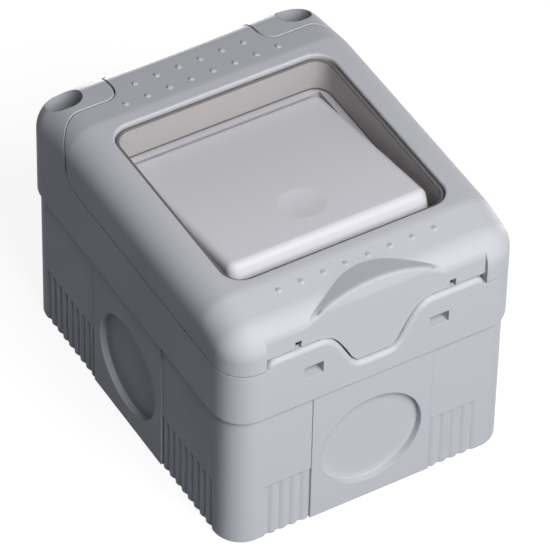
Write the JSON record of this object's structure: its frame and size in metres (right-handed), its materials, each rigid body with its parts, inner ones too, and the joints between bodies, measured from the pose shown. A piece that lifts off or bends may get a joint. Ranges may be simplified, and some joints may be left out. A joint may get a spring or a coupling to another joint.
{
  "type": "weatherproof wall switch",
  "caption": "Surface-mounted grey weatherproof switch: ribbed back box, front frame and hinged lid whose sealed window frames a wide rocker.",
  "frame": {"origin": "centre of the box at its wall face", "axes": "+Z points away from the wall, +Y points to the hinged side of the lid, -Y to the thumb tab"},
  "size_m": [0.072, 0.0904, 0.0648],
  "materials": {
    "housing": "satin grey moulded plastic with a fine grain",
    "rocker_plastic": "satin light grey moulded plastic",
    "soft_seal": "matte warm grey soft sleeve",
    "gasket": "matte black rubber",
    "insert": "off-white thermoset",
    "steel": "zinc-plated steel",
    "brass": "plain brass"
  },
  "bodies": {
    "enclosure": {"back_box": "housing", "box_gasket": "gasket", "front_frame": "housing", "frame_screws": "steel", "screw_seals": "gasket", "hinge_pin_right": "steel", "hinge_pin_left": "steel", "face_plate": "rocker_plastic", "plate_collar": "gasket", "rocker_pins": "steel", "common_terminal": "brass", "way_one_terminal": "brass", "way_two_terminal": "brass", "terminal_screws": "brass", "switch_body": "insert", "support_strap": "steel", "strap_screws": "steel"},
    "cover": {"lid": "housing", "window_seal": "soft_seal"},
    "rocker_group": {"rocker": "rocker_plastic", "plunger": "insert", "plunger_spring": "steel"},
    "moving_contact": {"contact_arm": "brass"}
  },
  "joints": [
    {"name": "lid_hinge", "type": "hinge", "parent": "enclosure", "child": "cover", "pos_m": [0, 0.0397, 0.0559], "axis": [-1, 0, 0], "range_deg": [0, 110]},
    {"name": "rocker_tilt", "type": "hinge", "parent": "enclosure", "child": "rocker_group", "pos_m": [0, -0.0035, 0.0515], "axis": [1, 0, 0], "range_deg": [0, 20]},
    {"name": "contact_tilt", "type": "hinge", "parent": "enclosure", "child": "moving_contact", "pos_m": [0, -0.0035, 0.0346], "axis": [1, 0, 0], "range_deg": [-16, 0]}
  ],
  "couplings": [
    {"joint": "contact_tilt", "follows": "rocker_tilt", "ratio": -0.8}
  ]
}
